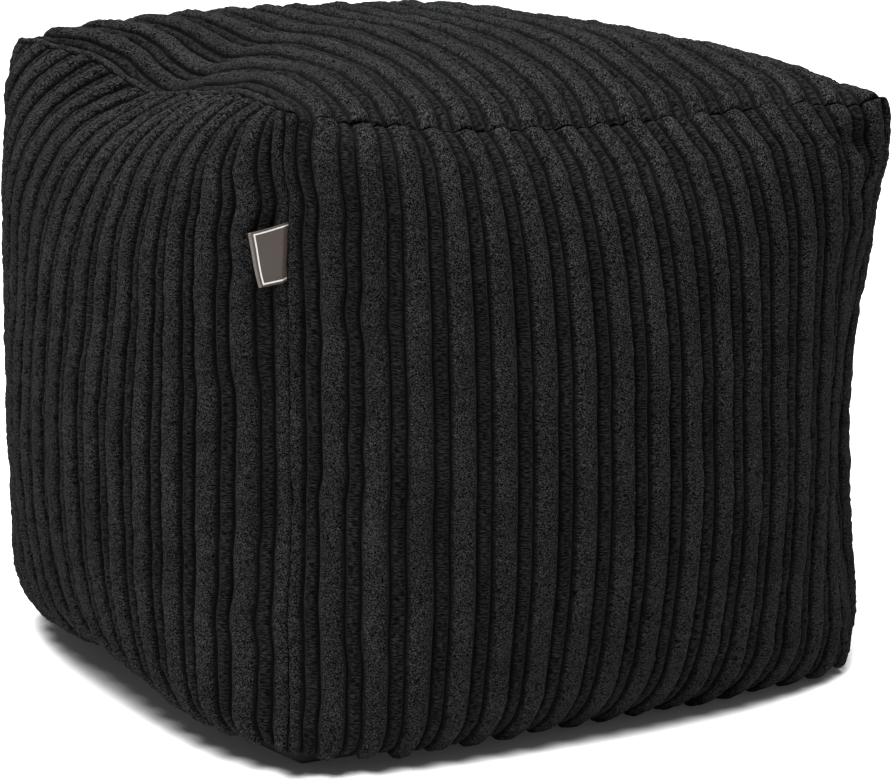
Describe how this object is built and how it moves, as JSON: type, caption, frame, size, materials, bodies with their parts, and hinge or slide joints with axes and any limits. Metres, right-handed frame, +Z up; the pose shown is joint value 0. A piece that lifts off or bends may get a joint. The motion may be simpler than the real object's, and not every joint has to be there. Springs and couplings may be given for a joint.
{
  "type": "cube bean bag footstool",
  "caption": "Cube-shaped bean bag footstool in black jumbo cord with wide and narrow ribs, swollen sides, a crowned seat and a small folded label in one seam",
  "frame": {"origin": "centre of the bounding box at floor level", "axes": "-Y is the front panel, -X is the left panel with the label, +Z is up out of the seat; the base rests on the plane z = 0"},
  "size_m": [0.5077, 0.5146, 0.3871],
  "materials": {
    "cord": "black jumbo cord, matt cut pile in wide and narrow ribs",
    "label": "taupe woven label with a pale border, bare of text"
  },
  "bodies": {
    "root": {"panel_top": "cord", "panel_front": "cord", "panel_left": "cord", "panel_right": "cord", "panel_back": "cord", "panel_base": "cord", "label_tab": "label"}
  },
  "joints": []
}
